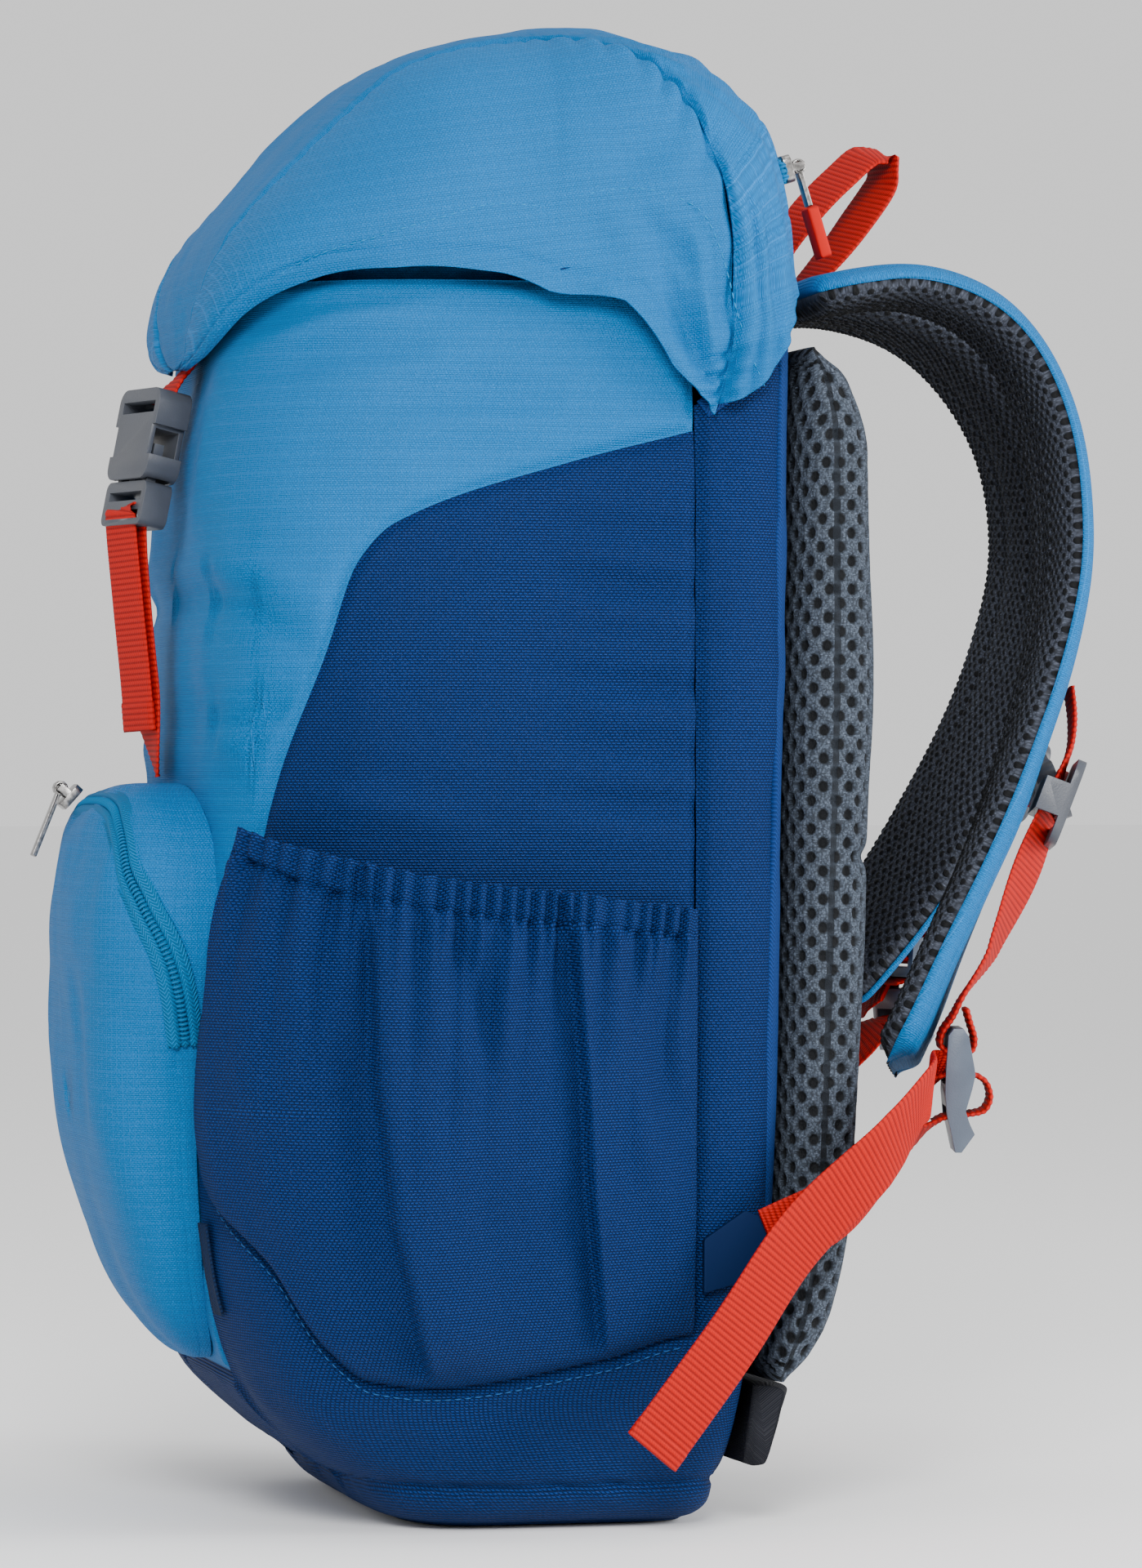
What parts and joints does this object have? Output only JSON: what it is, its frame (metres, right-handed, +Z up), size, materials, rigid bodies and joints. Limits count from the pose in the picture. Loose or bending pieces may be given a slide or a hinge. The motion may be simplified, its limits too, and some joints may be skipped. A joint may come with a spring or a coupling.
{
  "type": "daypack",
  "caption": "Child-size hiking daypack with a domed lid, a front pocket, side pockets and padded shoulder straps; carries a light load on the back.",
  "frame": {"origin": "middle of the whole object's box, on the plane that it stands on", "axes": "+Z up, -Y towards the front pocket, +Y towards the wearer's back, +X to the right-hand side seen from the front"},
  "size_m": [0.2576, 0.3236, 0.4296],
  "materials": {
    "cyan_ripstop": "fine ripstop nylon, slight sheen",
    "navy_canvas": "coarse plain-weave polyester, matt",
    "navy_binding": "woven herringbone tape, matt",
    "red_webbing": "ribbed webbing, matt",
    "grey_air_mesh": "open spacer mesh, matt",
    "foam": "closed-cell foam",
    "black_canvas": "woven, matt",
    "zip_tape": "woven tape and coil",
    "grey_plastic": "moulded, satin",
    "gunmetal": "plated, satin"
  },
  "bodies": {
    "root": {"front_panel": "cyan_ripstop", "base_panel": "navy_canvas", "back_panel": "navy_canvas", "back_foam": "foam", "back_cuff": "black_canvas", "collar": "cyan_ripstop", "collar_hem": "navy_canvas", "side_panel_right": "navy_canvas", "side_panel_left": "navy_canvas", "rear_gusset_right": "navy_canvas", "rear_gusset_left": "navy_canvas", "side_pocket_right": "navy_canvas", "side_pocket_left": "navy_canvas", "pocket_hem_right": "navy_binding", "pocket_hem_left": "navy_binding", "back_pad_right": "grey_air_mesh", "back_pad_left": "grey_air_mesh", "back_binding_right": "navy_binding", "back_binding_left": "navy_binding", "front_pocket": "cyan_ripstop", "front_zip_tape": "zip_tape", "front_zip_coil": "zip_tape", "lid_rear_band": "cyan_ripstop", "lid_zip_tape": "zip_tape", "lid_zip_coil": "zip_tape", "strap_pad_right": "grey_air_mesh", "strap_pad_left": "grey_air_mesh", "strap_face_right": "cyan_ripstop", "strap_face_left": "cyan_ripstop", "strap_rail_right": "red_webbing", "strap_rail_left": "red_webbing", "lower_webbing_right": "red_webbing", "lower_webbing_left": "red_webbing", "strap_tail_right": "red_webbing", "strap_tail_left": "red_webbing", "anchor_tab_right": "navy_canvas", "anchor_tab_left": "navy_canvas"},
    "lid": {"lid_top_panel": "cyan_ripstop", "lid_side_panel_right": "cyan_ripstop", "lid_side_panel_left": "cyan_ripstop", "lid_lining": "navy_canvas", "lid_tab": "red_webbing", "buckle_socket": "grey_plastic"},
    "front_strap": {"front_strap": "red_webbing", "front_strap_tail": "red_webbing", "buckle_prongs": "grey_plastic"},
    "lid_zip_slider": {"lid_zip_slider": "gunmetal"},
    "lid_zip_pull": {"lid_zip_puller": "gunmetal", "lid_pull_tab": "red_webbing"},
    "front_zip_slider": {"front_zip_slider": "gunmetal"},
    "front_zip_pull": {"front_zip_puller": "gunmetal"},
    "haul_loop": {"haul_loop": "red_webbing"},
    "sternum_strap": {"sternum_slider_right": "grey_plastic", "sternum_slider_left": "grey_plastic", "sternum_web_right": "red_webbing", "sternum_web_left": "red_webbing", "sternum_socket": "grey_plastic", "sternum_prongs": "grey_plastic"},
    "ladder_lock_right": {"ladder_lock_right": "grey_plastic"},
    "ladder_lock_left": {"ladder_lock_left": "grey_plastic"}
  },
  "joints": [
    {"name": "lid_hinge", "type": "hinge", "parent": "root", "child": "lid", "pos_m": [0, 0.03467, 0.401], "axis": [-1, 0, 0], "range_deg": [0, 95]},
    {"name": "front_strap_swing", "type": "hinge", "parent": "root", "child": "front_strap", "pos_m": [0, -0.12893, 0.215], "axis": [1, 0, 0], "range_deg": [0, 77.9]},
    {"name": "lid_zip_slide", "type": "slide", "parent": "root", "child": "lid_zip_slider", "axis": [1, 0, 0], "range_m": [-0.042, 0]},
    {"name": "lid_pull_swing", "type": "hinge", "parent": "lid_zip_slider", "child": "lid_zip_pull", "pos_m": [0.06, 0.04775, 0.38882], "axis": [1, 0, 0], "range_deg": [0, 90]},
    {"name": "front_zip_slide", "type": "slide", "parent": "root", "child": "front_zip_slider", "axis": [1, 0, 0], "range_m": [0, 0.058]},
    {"name": "front_pull_swing", "type": "hinge", "parent": "front_zip_slider", "child": "front_zip_pull", "pos_m": [-0.0299, -0.1531, 0.20946], "axis": [-1, 0, 0], "range_deg": [0, 80]},
    {"name": "haul_loop_swing", "type": "hinge", "parent": "root", "child": "haul_loop", "pos_m": [0, 0.05242, 0.351], "axis": [-1, 0, 0], "range_deg": [0, 30], "stiffness_Nm_per_rad": 0.1},
    {"name": "sternum_slide", "type": "slide", "parent": "root", "child": "sternum_strap", "axis": [0, -0.37, -0.929], "range_m": [-0.008, 0.008]},
    {"name": "ladder_lock_right_tilt", "type": "hinge", "parent": "root", "child": "ladder_lock_right", "pos_m": [0.067, 0.09366, 0.138], "axis": [0.9744, -0.225, 0], "range_deg": [0, 20]},
    {"name": "ladder_lock_left_tilt", "type": "hinge", "parent": "root", "child": "ladder_lock_left", "pos_m": [-0.067, 0.11566, 0.161], "axis": [0.9744, 0.225, 0], "range_deg": [0, 20]}
  ],
  "couplings": [
    {"joint": "front_strap_swing", "follows": "lid_hinge", "ratio": 0.82}
  ]
}
